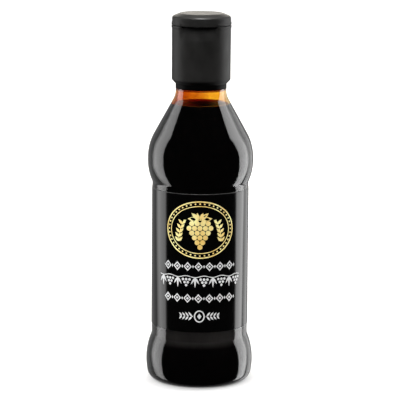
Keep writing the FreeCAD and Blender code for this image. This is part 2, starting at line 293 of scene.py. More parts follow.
# %% Turned pieces
def face_outwards(mesh):
    """Points the faces of a closed mesh outwards: its signed volume tells which way they point."""
    work = bmesh.new()
    work.from_mesh(mesh)
    bmesh.ops.recalc_face_normals(work, faces=work.faces)
    if work.calc_volume(signed=True) < 0:
        bmesh.ops.reverse_faces(work, faces=work.faces)
    work.to_mesh(mesh)
    work.free()


def turned(name, section, material, segments=160, sharp=crease):
    """A closed piece turned from a section of (radius, height) points in millimetres."""
    line = bpy.data.meshes.new(name)
    points = [(r * MM, 0.0, z * MM) for r, z in section]
    line.from_pydata(points, [(k, k + 1) for k in range(len(points) - 1)], [])
    piece = apply_tree(name, line, turning, {"Segments": segments, "Material": material})
    face_outwards(piece.data)
    piece.data.set_sharp_from_angle(angle=math.radians(sharp))
    low = min(v.co.z for v in piece.data.vertices) / MM
    high = max(v.co.z for v in piece.data.vertices) / MM
    print(f"{name}: {len(piece.data.polygons)} faces, {low:.1f} to {high:.1f} mm")
    return piece


def soften(section, radius, steps=4):
    """Rounds every corner of a section by up to radius, so that its edges catch the light.

    A point may bring a radius of its own.
    """
    points = [Vector(p[:2]) for p in section]
    result = [points[0]]
    for before, here, after, point in zip(points, points[1:], points[2:], section[1:]):
        one, two = before - here, after - here
        cut = min(point[2] if len(point) > 2 else radius, one.length * 0.45, two.length * 0.45)
        start, end = here + one.normalized() * cut, here + two.normalized() * cut
        for k in range(steps + 1):
            t = k / steps
            result.append(start * (1 - t) ** 2 + here * 2 * t * (1 - t) + end * t**2)
    return [tuple(p) for p in result + [points[-1]]]


def second_material(piece, material, chosen):
    """Gives a second material to the faces that a test picks."""
    piece.data.materials.append(material)
    for face in piece.data.polygons:
        if chosen(face):
            face.material_index = 1


# %% [markdown]
# ## Materials
# The real finishes are clear plastic, a dark syrup, a satin film, ink and moulded black. Images could
# paint them, but an image blurs up close and has to be unwrapped. Here every finish is a node tree on
# Object coordinates, and the plain numbers sit on the shader's own sockets.

# %% Material helpers
def new_material(name, **values):
    """A Principled material with values set on the shader's own sockets."""
    material = bpy.data.materials.new(name)
    material.use_nodes = True
    shader = material.node_tree.nodes["Principled BSDF"]
    for title, value in values.items():
        shader.inputs[title.replace("_", " ")].default_value = value
    return material, material.node_tree, shader


def coordinates(tree, scale):
    """Object coordinates in millimetres, scaled per axis."""
    place = node(tree, "ShaderNodeTexCoord").outputs["Object"]
    mapped = node(tree, "ShaderNodeMapping", place)
    mapped.inputs["Scale"].default_value = [s / MM for s in scale]
    return mapped.outputs[0]


def height_in(tree):
    """The height, in millimetres."""
    return split(tree, coordinates(tree, (1, 1, 1)))["Z"]


def from_axis(tree):
    """The distance from the upright axis, in millimetres."""
    flat = coordinates(tree, (1, 1, 0))
    return node(tree, "ShaderNodeVectorMath", flat, operation="LENGTH").outputs["Value"]


def noise(tree, scale, detail=2.0, roughness=0.5):
    """Fractal noise with a grain of 1 / scale millimetres along each axis."""
    made = node(tree, "ShaderNodeTexNoise", coordinates(tree, scale))
    made.inputs["Scale"].default_value = 1.0
    made.inputs["Detail"].default_value = detail
    made.inputs["Roughness"].default_value = roughness
    return made.outputs[0]


def spread(tree, value, low, high):
    """Stretches a noise, which lies about 0.5, over the range low to high."""
    return ramp(tree, value, 0.3, 0.7, low, high)


def bump(tree, height, strength, distance):
    made = node(tree, "ShaderNodeBump")
    made.inputs["Strength"].default_value = strength
    made.inputs["Distance"].default_value = distance * MM
    link(tree, height, made.inputs["Height"])
    return made.outputs[0]


def tinted(tree, factor, low, high):
    """A colour between low and high, chosen by factor. Low is a colour or a socket."""
    tone = node(tree, "ShaderNodeMix", data_type="RGBA")
    link(tree, factor, tone.inputs["Factor"])
    if isinstance(low, bpy.types.NodeSocket):
        link(tree, low, tone.inputs["A"])
    else:
        tone.inputs["A"].default_value = (*low, 1)
    tone.inputs["B"].default_value = (*high, 1)
    return tone.outputs["Result"]


def paint(tree, shader, factor, low, high):
    """Gives a shader a base colour between low and high, chosen by factor."""
    link(tree, tinted(tree, factor, low, high), shader.inputs["Base Color"])


# %% [markdown]
# ## Clear plastic and syrup
# Blown plastic is clear and faintly uneven, and through it shows the skin of the syrup. A syrup that
# lets light through could be traced in full, but that is slow and noisy. This one is so dark that an
# opaque skin in its colours will do.

# %% Clear plastic and syrup
def clear_plastic():
    material, tree, shader = new_material("clear blown plastic", IOR=1.57, Transmission_Weight=1.0)
    shader.inputs["Base Color"].default_value = (1.0, 0.995, 0.985, 1)
    grain = noise(tree, (0.05, 0.05, 0.02), detail=1.0)
    link(tree, bump(tree, grain, 0.35, 0.3), shader.inputs["Normal"])
    link(tree, spread(tree, grain, 0.012, 0.03), shader.inputs["Roughness"])
    return material


def syrup_at_wall():
    """Almost black; a painted sheen makes the strip between label and base a shade paler."""
    material, tree, shader = new_material(
        "syrup against the wall", IOR=1.42, Specular_IOR_Level=0.0, Roughness=0.3)
    cloud = noise(tree, (0.06, 0.06, 0.04), detail=3.0)
    height = height_in(tree)
    from_foot = ramp(tree, height, foot_z - 4.0, foot_z + 0.5)
    to_label = ramp(tree, height, label_foot_z, label_foot_z + 2.0, 1.0, 0.0)
    # Painted sheen: the strip between label and base is made paler in colour.
    strip = maths(tree, "MULTIPLY", from_foot, to_label)
    pale = maths(tree, "MULTIPLY", strip, spread(tree, cloud, 0.6, 1.0))
    paint(tree, shader, pale, (0.0006, 0.0004, 0.0004), (0.028, 0.026, 0.025))
    return material


# Painted shade on the syrup's open surface: it fades out between these radii from the axis.
painted_shade_middle_r = (4.0, 9.5)


def syrup_surface_painted_light():
    """Painted light: deep red brown, redder left and at the back; painted shade in the middle."""
    material, tree, shader = new_material(
        "syrup, open surface, painted light", IOR=1.42, Specular_IOR_Level=0.0, Roughness=0.12)
    cloud = noise(tree, (0.08, 0.08, 0.08), detail=3.0)
    parts = split(tree, coordinates(tree, (0.05, 0.05, 0.05)))
    across = maths(tree, "SUBTRACT", parts["Y"], parts["X"])
    painted_light_off_middle = ramp(tree, from_axis(tree), *painted_shade_middle_r, 0.3, 1.0)
    amount = maths(tree, "MULTIPLY", painted_light_off_middle, maths(tree, "ADD", cloud, across))
    # Painted light: this red stands in for light that comes through the amber neck.
    paint(tree, shader, amount, (0.06, 0.0035, 0.0015), (1.0, 0.06, 0.004))
    return material


plastic = clear_plastic()
print("finish of the wall:", plastic.name)

# %% [markdown]
# ## The clear shell
# The shell is one closed piece: the outside line, the neck that the cap hides, and the same line moved
# in by the wall. A single skin with Solidify could stand for it, but two exact lines keep the corners
# true. Clear pieces need both skins, because light bends at each of them.

# %% Make the shell
def closed_shell():
    inside = wall_line(wall)
    neck = [(finish_r, neck_top_z), (finish_r, rim_z), (bore_r, rim_z), (bore_r, neck_top_z - wall)]
    corner = [(neck_r, neck_top_z)]
    inner_corner = [(neck_r - wall, neck_top_z - wall)]
    return outside + corner + neck + inner_corner + inside[::-1]


shell = turned("clear_bottle", closed_shell(), plastic)
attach(shell, "root")
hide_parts("bottle")

# %% [markdown]
# ## The syrup
# The syrup fills the bottle up to the cone, where it climbs the wall a little. It could be scaled down
# from the shell, but a gap between the two would show as a silver skin. So it is turned from the same
# line, and reaches a little way into the wall. It has no gloss of its own, since plastic and syrup bend
# light nearly alike. Its open surface gets a second, redder material: painted light from the amber
# neck, with painted shade in the middle.

# %% Make the syrup
bite = 0.15
climb = 0.08
climb_width = 1.0


def split_line(line, height):
    """The parts of a rising line below and above a height. Both have a point at that height."""
    count = sum(1 for point in line if point[1] < height)
    (low_r, low_z), (high_r, high_z) = line[count - 1], line[count]
    share = (height - low_z) / (high_z - low_z)
    crossing = (low_r + (high_r - low_r) * share, height)
    return line[:count] + [crossing], [crossing] + line[count:]


def syrup_section():
    skin, _ = split_line(wall_line(wall - bite), level_z + climb)
    edge_r = skin[-1][0]
    slope = (edge_r - 0.35 * climb_width, level_z + 0.2 * climb)
    return skin + [slope, (edge_r - climb_width, level_z), (0.0, level_z)]


glaze = turned("syrup", syrup_section(), syrup_at_wall(), sharp=60)
open_z = (level_z - 0.1) * MM
second_material(glaze, syrup_surface_painted_light(), lambda f: f.normal.z > 0.5 and f.center.z > open_z)
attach(glaze, "root")
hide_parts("glaze")

# %% [markdown]
# ## The amber film in the neck
# Syrup that ran back down leaves a thin film on the wall over the level. White light that comes
# through it turns amber. The wall itself could be tinted there, but a thin closed skin of its own can
# also be thicker where syrup rests, on the shelf under the cap. Its tint is uneven: it hangs in slow
# upright streaks and is darker towards one side.

# %% Make the film
film_reach = 0.1
film_depth = 0.25
film_lift = 0.1


def film_material():
    """Amber in slow streaks, yellower to the right, and brown where the cap keeps light off it."""
    material, tree, shader = new_material(
        "amber film", IOR=1.04, Transmission_Weight=1.0, Roughness=0.05)
    streaks = noise(tree, (0.09, 0.09, 0.03), detail=2.0, roughness=0.6)
    side = split(tree, coordinates(tree, (0.04, 0.04, 0.04)))["X"]
    amount = spread(tree, maths(tree, "ADD", streaks, side), 0.0, 1.0)
    amber = tinted(tree, amount, (0.55, 0.195, 0.02), (0.77, 0.51, 0.10))
    under_cap = ramp(tree, height_in(tree), neck_top_z - 1.2, neck_top_z - 0.2)
    paint(tree, shader, under_cap, amber, (0.25, 0.03, 0.005))
    return material


def film_section():
    """A thin skin on the inside of the wall, and a rim of it that fills the shelf under the cap."""
    shelf_z = neck_top_z - wall
    under_z = shelf_z - film_depth
    top_z = neck_top_z - film_reach
    top_r = neck_r - 2 * film_reach
    inner_r = bore_r + film_reach
    outer, inner = (
        [point for point in split_line(wall_line(inset), level_z + film_lift)[1] if point[1] < under_z]
        for inset in (wall - film_reach, wall + film_depth))
    head = [(neck_r - wall + film_reach, under_z), (top_r, shelf_z), (top_r, top_z),
            (inner_r, top_z), (inner_r, under_z), (neck_r - wall - film_depth, under_z)]
    return outer + head + inner[::-1] + [outer[0]]


film = turned("amber_film", film_section(), film_material())
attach(film, "root")

# %% [markdown]
# ## The label
# A black film is wrapped round the panel. It is satin where the bottle is glassy, so its reflections
# have softer edges. A flat sheet could be bent round the panel, but a turned sleeve has the same shape
# and is closed at once, and the faces at its head can be given a grey: a painted highlight on its edge.

# %% Make the label
def label_material():
    material, tree, shader = new_material("black label film", IOR=1.5, Specular_IOR_Level=0.40)
    fibre = noise(tree, (2.5, 2.5, 2.5), detail=3.0)
    waves = noise(tree, (0.12, 0.12, 0.04), detail=1.0)
    paint(tree, shader, fibre, (0.0006, 0.0006, 0.0007), (0.0012, 0.0012, 0.0012))
    link(tree, spread(tree, fibre, 0.09, 0.13), shader.inputs["Roughness"])
    both = maths(tree, "ADD", maths(tree, "MULTIPLY", fibre, 0.03), waves)
    link(tree, bump(tree, both, 0.3, 0.15), shader.inputs["Normal"])
    return material


def painted_edge_highlight_material():
    """A painted highlight at the label's head: grey, here and there a little brighter."""
    material, tree, shader = new_material("painted highlight at the label's head", IOR=1.5, Roughness=0.4)
    patches = noise(tree, (0.15, 0.15, 0.15), detail=2.0)
    paint(tree, shader, patches, (0.004, 0.004, 0.004), (0.07, 0.07, 0.068))
    return material


label_black = label_material()
# Painted highlight: the faces of this band at the label's head get a grey of their own.
painted_highlight_band = 0.3
sleeve_r = panel_r + 0.02
sleeve = [
    (sleeve_r, label_foot_z),
    (label_r, label_foot_z),
    (label_r, label_head_z - painted_highlight_band),
    (label_r, label_head_z),
    (sleeve_r, label_head_z),
    (sleeve_r, label_foot_z),
]
label = turned("wrap_label", soften(sleeve, radius=0.07, steps=3), label_black, segments=200)
highlight_foot_z = (label_head_z - painted_highlight_band) * MM
second_material(label, painted_edge_highlight_material(), lambda f: f.center.z > highlight_foot_z)
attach(label, "root")
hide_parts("label")

# %% [markdown]
# ## Wrapping print round the label
# Print is a skin of ink. An image would do for it at one distance, but real shapes keep their edges
# at any. Each motif is drawn flat, in millimetres, as if the label lay on a bench: to the right and
# up. A second node tree gives the flat shapes their thickness and rolls them onto the label, with the
# middle of the sheet at the front.

# %% The wrapping tree
ink = 0.04
ink_sink = 0.02


def wrapping_tree():
    sockets = [("Label radius", "NodeSocketFloat"), ("Ink", "NodeSocketFloat"),
               ("Material", "NodeSocketMaterial")]
    tree, into, out = new_group("Printed round the label", sockets)
    thick = node(tree, "GeometryNodeExtrudeMesh", into.outputs["Geometry"], mode="FACES")
    thick.inputs["Individual"].default_value = False
    link(tree, into.outputs["Ink"], thick.inputs["Offset Scale"])
    backed = node(tree, "GeometryNodeFlipFaces", into.outputs["Geometry"])
    both = tree.nodes.new("GeometryNodeJoinGeometry")
    link(tree, thick.outputs[0], both.inputs[0])
    link(tree, backed.outputs[0], both.inputs[0])
    flat = split(tree, node(tree, "GeometryNodeInputPosition").outputs[0])
    radius = into.outputs["Label radius"]
    reach = maths(tree, "ADD", flat["Z"], radius)
    turn = maths(tree, "DIVIDE", flat["X"], radius)
    ink_skin = rolled(tree, welded(tree, both.outputs[0]), reach, turn, flat["Y"])
    finish_tree(tree, ink_skin, into.outputs["Material"], out)
    return tree


wrapping = wrapping_tree()
print("wrapping tree:", len(wrapping.nodes), "nodes")


def printed(name, mesh, material, thickness=ink):
    values = {"Label radius": (label_r - ink_sink) * MM, "Ink": (thickness + ink_sink) * MM,
              "Material": material}
    piece = apply_tree(name, mesh, wrapping, values)
    face_outwards(piece.data)
    piece.data.set_sharp_from_angle(angle=math.radians(crease))
    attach(piece, "root")
    print(f"{name}: {len(piece.data.polygons)} faces")


# %% [markdown]
# ## Flat shapes
# The ornament is built from a few simple shapes. They could be curves that Blender fills, but plain
# corner points need no conversion. A sheet collects them: a disc, a leaf, a lozenge, an oval and a
# line. Long lines are cut across, so that they bend round the label without sinking in.

# %% A sheet of flat shapes
class Sheet:
    """Flat shapes in millimetres: x runs to the right along the label, y is the height."""

    def __init__(self):
        self.points = []
        self.faces = []

    def polygon(self, corners):
        first = len(self.points)
        self.points += corners
        self.faces.append(list(range(first, first + len(corners))))

    def line(self, path, width):
        """A line of even width along a path."""
        first = len(self.points)
        for k, here in enumerate(path):
            before, after = path[max(k - 1, 0)], path[min(k + 1, len(path) - 1)]
            along = Vector((after[0] - before[0], after[1] - before[1])).normalized()
            side = (along.y * width / 2, along.x * width / 2)
            self.points.append((here[0] - side[0], here[1] + side[1]))
            self.points.append((here[0] + side[0], here[1] - side[1]))
        for k in range(len(path) - 1):
            a = first + 2 * k
            self.faces.append([a, a + 1, a + 3, a + 2])

    def ring(self, centre, radii, width, sides=96):
        """An oval line with the given half width and half height."""
        first = len(self.points)
        for k in range(sides):
            turn = math.tau * k / sides
            for half in (width / 2, -width / 2):
                x = centre[0] + (radii[0] + half) * math.cos(turn)
                y = centre[1] + (radii[1] + half) * math.sin(turn)
                self.points.append((x, y))
        for k in range(sides):
            a, b = first + 2 * k, first + 2 * ((k + 1) % sides)
            self.faces.append([a, a + 1, b + 1, b])

    def disc(self, centre, radius, sides):
        self.polygon(arc(centre, radius, 0, 360, sides)[:-1])

    def leaf(self, foot, length, width, direction, steps=8):
        """A pointed leaf that grows from foot in a direction in degrees."""
        turn = math.radians(direction)
        right = [(t / steps, math.sin(math.pi * (t / steps) ** 0.8)) for t in range(steps + 1)]
        outline = [(u * length, w * width / 2) for u, w in right]
        outline += [(u * length, -w * width / 2) for u, w in right[-2:0:-1]]
        cos, sin = math.cos(turn), math.sin(turn)
        self.polygon([(foot[0] + x * cos - y * sin, foot[1] + x * sin + y * cos) for x, y in outline])

    def lozenge(self, centre, width, height):
        x, y = centre
        self.polygon([(x - width / 2, y), (x, y - height / 2), (x + width / 2, y), (x, y + height / 2)])

    def frame(self, centre, width, height, stroke):
        """A hollow lozenge."""
        first = len(self.points)
        inner = 1 - stroke * math.hypot(width, height) / (width * height) * 2
        for share in (1.0, inner):
            for x, y in ((-width, 0), (0, -height), (width, 0), (0, height)):
                self.points.append((centre[0] + x * share / 2, centre[1] + y * share / 2))
        for k in range(4):
            m = (k + 1) % 4
            self.faces.append([first + k, first + m, first + 4 + m, first + 4 + k])

    def mesh(self, name):
        made = bpy.data.meshes.new(name)
        made.from_pydata([(x * MM, y * MM, 0.0) for x, y in self.points], [], self.faces)
        work = bmesh.new()
        work.from_mesh(made)
        bmesh.ops.recalc_face_normals(work, faces=work.faces)
        for face in work.faces:
            if face.normal.z < 0:
                face.normal_flip()
        work.to_mesh(made)
        work.free()
        return made


# %% [markdown]
# ## The label's overlap
# At the back the end of the sleeve lies over its start. The sleeve could be given a step there, but a
# strip laid over it looks the same. The strip is one more sheet, almost as tall as the label and as
# black, and the wrapping tree lays it half a turn away from the front.

# %% Lay the overlap
def overlap(width, columns):
    sheet = Sheet()
    back = math.pi * label_r
    middle_z = (label_foot_z + label_head_z) / 2
    path = [(back + width * (k / columns - 0.5), middle_z) for k in range(columns + 1)]
    sheet.line(path, label_head_z - label_foot_z - painted_highlight_band)
    return sheet


lap = overlap(width=9.0, columns=18)
printed("label_overlap", lap.mesh("overlap"), label_black, thickness=0.08)

# %% [markdown]
# ## Ink finishes
# The gold is a printed foil and the white is a plain screen ink. The foil could be a metal, but a metal
# shows what stands in front of it, and here that is a dark room. So both are plain inks whose colour
# drifts with a slow noise, and the gold drifts from a warm to a pale yellow.

# %% Gold and white
def ink_material(name, dark, light, **values):
    material, tree, shader = new_material(name, **values)
    grain = noise(tree, (0.18, 0.18, 0.10), detail=3.0)
    paint(tree, shader, spread(tree, grain, 0.0, 1.0), dark, light)
    return material


gold = ink_material("gold print", (0.83, 0.55, 0.135), (1.0, 0.97, 0.45), Roughness=0.38)
white = ink_material("white print", (0.64, 0.65, 0.66), (0.74, 0.75, 0.755), Roughness=0.5)
print("inks:", gold.name, "and", white.name)

# %% [markdown]
# ## The gold medallion
# The front carries one gold mark, as wide as the part of the panel that looks flat. It is an oval with
# a beaded rim, and in it stands what the syrup is made of: a bunch of grapes under vine leaves, with a
# sprig on each side. It could be drawn by hand, but a few loops keep it even and easy to change.

# %% Draw the medallion
medallion_z = 81.2
medallion_half = (17.4, 14.2)


def beaded_rim(sheet):
    centre = (0.0, medallion_z)
    wide, high = medallion_half
    inner, between, bead, beads = 2.3, 1.1, 0.42, 44
    sheet.ring(centre, (wide, high), 0.6)
    sheet.ring(centre, (wide - inner, high - inner), 0.4)
    for k in range(beads):
        turn = math.tau * k / beads
        x = (wide - between) * math.cos(turn)
        sheet.disc((x, medallion_z + (high - between) * math.sin(turn)), bead, 10)


def grape_bunch(sheet, top_z):
    berry = 1.28
    column_pitch, row_pitch = 2.12 * berry, 1.86 * berry
    for row, count in enumerate((4, 5, 4, 3, 2, 1)):
        for k in range(count):
            x = (k - (count - 1) / 2) * column_pitch
            sheet.disc((x, top_z - row * row_pitch), berry, 22)


def vine_leaves(sheet, stem_z):
    for side in (-1, 1):
        foot = (0.6 * side, stem_z)
        for spread_angle, length in ((-38, 3.6), (2, 5.6), (40, 4.8), (74, 3.4)):
            direction = spread_angle if side > 0 else 180 - spread_angle
            sheet.leaf(foot, length, length * 0.42, direction)
    sheet.line([(0.0, stem_z - 0.6), (0.1, stem_z + 1.2), (0.9, stem_z + 2.6)], 0.6)


def side_sprigs(sheet):
    for side in (-1, 1):
        steps = [k / 5 for k in range(6)]
        stem = [(side * (10.9 - 3.0 * t * t), medallion_z - 6.0 + 11.0 * t) for t in steps]
        sheet.line(stem, 0.4)
        for foot in stem[:-1]:
            for lean in (48, 132):
                sheet.leaf(foot, 3.0, 1.3, lean if side > 0 else 180 - lean)


def medallion():
    sheet = Sheet()
    beaded_rim(sheet)
    grape_bunch(sheet, medallion_z + 3.2)
    vine_leaves(sheet, medallion_z + 5.4)
    side_sprigs(sheet)
    return sheet


printed("gold_medallion", medallion().mesh("medallion"), gold)

# %% [markdown]
# ## The white ornament
# Under the medallion a broad band of vine runs between two chains of lozenges. Each band repeats one
# motif. An Array modifier could repeat it, but a node tree also centres the row on the front. A mesh
# line gives the places, the motif is put on each, and the row goes on to the wrapping tree.

# %% The row tree
def row_tree():
    sockets = [("Count", "NodeSocketInt"), ("Pitch", "NodeSocketFloat"), ("Height", "NodeSocketFloat"),
               ("Material", "NodeSocketMaterial")]
    tree, into, out = new_group("Motif set out in a row", sockets)
    steps = maths(tree, "SUBTRACT", into.outputs["Count"], 1)
    half = maths(tree, "MULTIPLY", maths(tree, "MULTIPLY", steps, into.outputs["Pitch"]), -0.5)
    start = node(tree, "ShaderNodeCombineXYZ", half, into.outputs["Height"], 0.0)
    step = node(tree, "ShaderNodeCombineXYZ", into.outputs["Pitch"], 0.0, 0.0)
    places = tree.nodes.new("GeometryNodeMeshLine")
    link(tree, into.outputs["Count"], places.inputs["Count"])
    link(tree, start.outputs[0], places.inputs["Start Location"])
    link(tree, step.outputs[0], places.inputs["Offset"])
    copies = tree.nodes.new("GeometryNodeInstanceOnPoints")
    link(tree, places.outputs[0], copies.inputs["Points"])
    link(tree, into.outputs["Geometry"], copies.inputs["Instance"])
    finish_tree(tree, copies.outputs[0], into.outputs["Material"], out)
    return tree


row_of = row_tree()
print("row tree:", len(row_of.nodes), "nodes")


def printed_row(name, motif, count, pitch, height, material):
    values = {"Count": count, "Pitch": pitch * MM, "Height": height * MM, "Material": material}
    flat = apply_tree(name + "_flat", motif.mesh(name), row_of, values)
    mesh = flat.data
    bpy.data.objects.remove(flat)
    printed(name, mesh, material)


# %% [markdown]
# ## The two motifs
# A band could be drawn in one go, but one motif is enough if its ends meet those of the next. So the
# vine's stem is one full wave, and each lozenge brings the small one beside it.

# %% Draw the bands
chain_pitch = 5.5
chain_count = 7
vine_pitch = 9.0
vine_z = 54.5
chain_offset = 8.1


def lozenge_motif():
    """A hollow lozenge with a dot in it, and a smaller solid one beside it."""
    sheet = Sheet()
    middle = -0.55
    sheet.frame((middle, 0.0), 4.2, 4.6, 0.55)
    sheet.disc((middle, 0.0), 0.6, 14)
    sheet.lozenge((middle + chain_pitch / 2, 0.0), 0.9, 1.8)
    return sheet


def vine_motif():
    """One wave of the stem: a lobed leaf hangs from its trough and grapes hang from its crest."""
    sheet = Sheet()
    steps = [k / 16 - 0.5 for k in range(17)]
    sheet.line([(vine_pitch * t, 3.0 + 0.4 * math.sin(math.tau * t)) for t in steps], 0.4)
    for direction, length in ((270, 5.2), (238, 4.0), (302, 4.0)):
        sheet.leaf((-vine_pitch / 4, 2.5), length, 0.95, direction)
    for row, count in enumerate((3, 2, 1)):
        for k in range(count):
            x = vine_pitch / 4 + (k - (count - 1) / 2) * 1.7
            sheet.disc((x, 1.6 - 1.5 * row), 0.66, 14)
    return sheet


def chain(name, height):
    printed_row(name, lozenge_motif(), chain_count, chain_pitch, height, white)


chain("white_upper_chain", vine_z + chain_offset)
printed_row("white_vine_band", vine_motif(), 5, vine_pitch, vine_z, white)
chain("white_lower_chain", vine_z - chain_offset)

# %% [markdown]
# ## The small mark
# A lone mark near the foot closes the ornament. A row with a count of one could hold it, but it doesn't
# repeat, so it goes straight onto one sheet: a lozenge in an oval, between two lines with leaves.

# %% Draw the small mark
def small_mark():
    sheet = Sheet()
    centre_z = 37.3
    sheet.ring((0.0, centre_z), (2.4, 2.8), 0.6, 40)
    sheet.lozenge((0.0, centre_z), 2.2, 2.9)
    for side in (-1, 1):
        sheet.line([(side * 3.2, centre_z), (side * 10.0, centre_z)], 0.5)
        for k in range(4):
            foot = (side * (3.7 + 1.75 * k), centre_z)
            for lean in (-50, 50):
                sheet.leaf(foot, 2.9 - 0.25 * k, 0.85, lean if side > 0 else 180 - lean)
    return sheet


printed("white_small_mark", small_mark().mesh("small_mark"), white)

# %% [markdown]
# ## The cap's finish
# The cap is moulded in satin black, with the fine grain of an eroded mould, which breaks up what it
# reflects. Little light gets into the slot under the lid and under the foot. Lamps and depth alone
# could show that, but the lamps are large, so the material is darkened there as well.

# %% Cap materials
slot_dark_r = (13.9, 14.3)
slot_dark_z = (skirt_top_z + 0.3, skirt_top_z + 0.5)
foot_dark_z = (band_top_z + 1.3, band_top_z + 2.8)


def outside_the_slot(tree):
    """0 deep in the slot between skirt and lid, 1 everywhere else."""
    shallow = ramp(tree, from_axis(tree), *slot_dark_r)
    return maths(tree, "MAXIMUM", shallow, ramp(tree, height_in(tree), *slot_dark_z))


def cap_material():
    """Dark grey, and black at the cut of its foot and deep in the slot."""
    material, tree, shader = new_material("satin black plastic", IOR=1.49, Specular_IOR_Level=0.15)
    grain = noise(tree, (6.0, 6.0, 6.0), detail=2.0)
    wear = noise(tree, (0.25, 0.25, 0.15), detail=3.0)
    above_foot = ramp(tree, height_in(tree), *foot_dark_z)
    lit = maths(tree, "MULTIPLY", above_foot, spread(tree, wear, 0.7, 1.0))
    lit = maths(tree, "MULTIPLY", lit, outside_the_slot(tree))
    paint(tree, shader, lit, (0.0008, 0.0008, 0.0008), (0.0122, 0.0119, 0.0113))
    link(tree, spread(tree, wear, 0.43, 0.52), shader.inputs["Roughness"])
    link(tree, bump(tree, grain, 0.35, 0.02), shader.inputs["Normal"])
    return material


def band_material():
    material, tree, shader = new_material("matt black band", IOR=1.5, Specular_IOR_Level=0.03)
    wear = noise(tree, (0.4, 0.4, 0.4), detail=2.0)
    paint(tree, shader, wear, (0.0006, 0.0006, 0.0006), (0.0014, 0.0014, 0.0014))
    link(tree, spread(tree, wear, 0.34, 0.42), shader.inputs["Roughness"])
    return material


cap_black = cap_material()
band_black = band_material()
print("cap finishes:", cap_black.name, "and", band_black.name)

# %% [markdown]
# ## The band
# A thin black ring lies between neck and cap. A groove in the cap could stand for it, but it is a piece
# of its own. It is turned like the rest, and gets a material with next to no gloss.

# %% Make the band
bore_gap = 0.1
cap_bore_r = finish_r + bore_gap
band_section = [
    (cap_bore_r, neck_top_z),
    (band_r, neck_top_z),
    (band_r, band_top_z),
    (cap_bore_r, band_top_z),
    (cap_bore_r, neck_top_z),
]
band = turned("neck_ring", soften(band_section, radius=0.12), band_black)
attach(band, "root")
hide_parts("neck_band")

# %% [markdown]
# ## The skirt
# The lower part of the cap has a lip at its head and a thumb recess in front. The recess could be cut
# with a Boolean, which leaves long thin faces that shade badly. Instead the skirt is turned with close
# rows, and the points in front are moved inwards, up to the slot under the lid.

# %% Make the skirt
cap_turn = -5.4
lip_reach = 0.2
lip_height = 1.2
seam_width = 0.2
seam_depth = 1.4
skirt_head_r = lip_r - lip_reach
skirt_foot_r = 14.75
skirt_chamfer = (1.7, 1.8)
recess_span = 76.0
recess_height = 6.8
recess_depth = 0.9
slot_edge = 1.6
ramp_edge = 6.0
slot_height = 0.6
recess_floor_z = skirt_top_z - recess_height
slot_foot_z = skirt_top_z - slot_height


def cut_up(section, from_z, step):
    """Adds points on the outside above from_z, so that the recess has something to bend."""
    result = [section[0]]
    outer_r = skirt_foot_r - 0.5
    for start, end in zip(section, section[1:]):
        outer_run = min(start[0], end[0]) > outer_r and end[1] > from_z
        pieces = max(1, round(math.dist(start, end) / step)) if outer_run else 1
        for k in range(1, pieces + 1):
            t = k / pieces
            result.append((start[0] + (end[0] - start[0]) * t, start[1] + (end[1] - start[1]) * t))
    return result


def skirt_section():
    lip_foot_z = skirt_top_z - lip_height
    side_foot_z = band_top_z + skirt_chamfer[1]
    plain = [
        (cap_bore_r, rim_z),
        (cap_bore_r, band_top_z),
        (skirt_foot_r - skirt_chamfer[0], band_top_z),
        (skirt_foot_r, side_foot_z),
        (skirt_head_r, lip_foot_z - lip_reach),
        (lip_r, lip_foot_z),
        (lip_r, skirt_top_z),
        (skirt_head_r - seam_depth, skirt_top_z),
    ]
    side = cut_up(soften(plain, radius=0.25), from_z=recess_floor_z - 0.6, step=0.2)
    return [(0.0, rim_z)] + side + [(0.0, skirt_top_z)]


def step_up(value, low, high):
    """A smooth step from 0 at low to 1 at high."""
    t = min(max((value - low) / (high - low), 0.0), 1.0)
    return t * t * (3 - 2 * t)


def draw_in(mesh, from_z, to_z, depth_at):
    """Moves the cap's front, between two heights, in to skirt_head_r less a depth, with soft ends."""
    for vertex in mesh.vertices:
        x, y, z = vertex.co / MM
        radius = math.hypot(x, y)
        target = skirt_head_r - depth_at(z)
        if not from_z < z < to_z or radius < target:
            continue
        edge = slot_edge if z > slot_foot_z else ramp_edge
        from_middle = abs(math.degrees(math.atan2(x, -y)) - cap_turn)
        within = 1 - step_up(from_middle, recess_span / 2 - edge, recess_span / 2 + edge)
        scale = 1 + (target / radius - 1) * within
        vertex.co.x *= scale
        vertex.co.y *= scale
    work = bmesh.new()
    work.from_mesh(mesh)
    bmesh.ops.remove_doubles(work, verts=work.verts, dist=weld / 2 * MM)
    work.to_mesh(mesh)
    work.free()
    mesh.set_sharp_from_angle(angle=math.radians(crease))


def recess_depth_at(z):
    """A ramp that ends in the slot under the lid."""
    if z > slot_foot_z:
        return seam_depth
    return recess_depth * (z - recess_floor_z) / (slot_foot_z - recess_floor_z)


skirt = turned("cap_sleeve", skirt_section(), cap_black, segments=240)
draw_in(skirt.data, recess_floor_z, skirt_top_z + seam_width, recess_depth_at)
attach(skirt, "root")
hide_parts("cap_skirt")

# %% [markdown]
# ## The lid
# The lid sits on a narrow step, which leaves a thin dark seam all round. One body with a groove could
# show the same, but the real lid is a piece of its own, and so it is here. It is turned like the
# skirt, and its lip is drawn in over the thumb recess by the same helper.

# %% Make the lid
lid_chamfer = (3.8, 1.5)
lid_head_r = 14.65
lid_edge = 0.9


def lid_section():
    seam_top_z = skirt_top_z + seam_width
    lip_top_z = seam_top_z + lip_height
    seat_r = skirt_head_r - seam_depth
    plain = [
        (0.0, skirt_top_z),
        (seat_r, skirt_top_z),
        (seat_r, seam_top_z),
        (lip_r, seam_top_z),
        (lip_r, lip_top_z),
        (skirt_head_r, lip_top_z + lip_reach),
        (lid_head_r, lid_top_z - lid_chamfer[1], lid_edge),
        (lid_head_r - lid_chamfer[0], lid_top_z),
        (0.0, lid_top_z),
    ]
    return soften(plain, radius=0.35, steps=6)


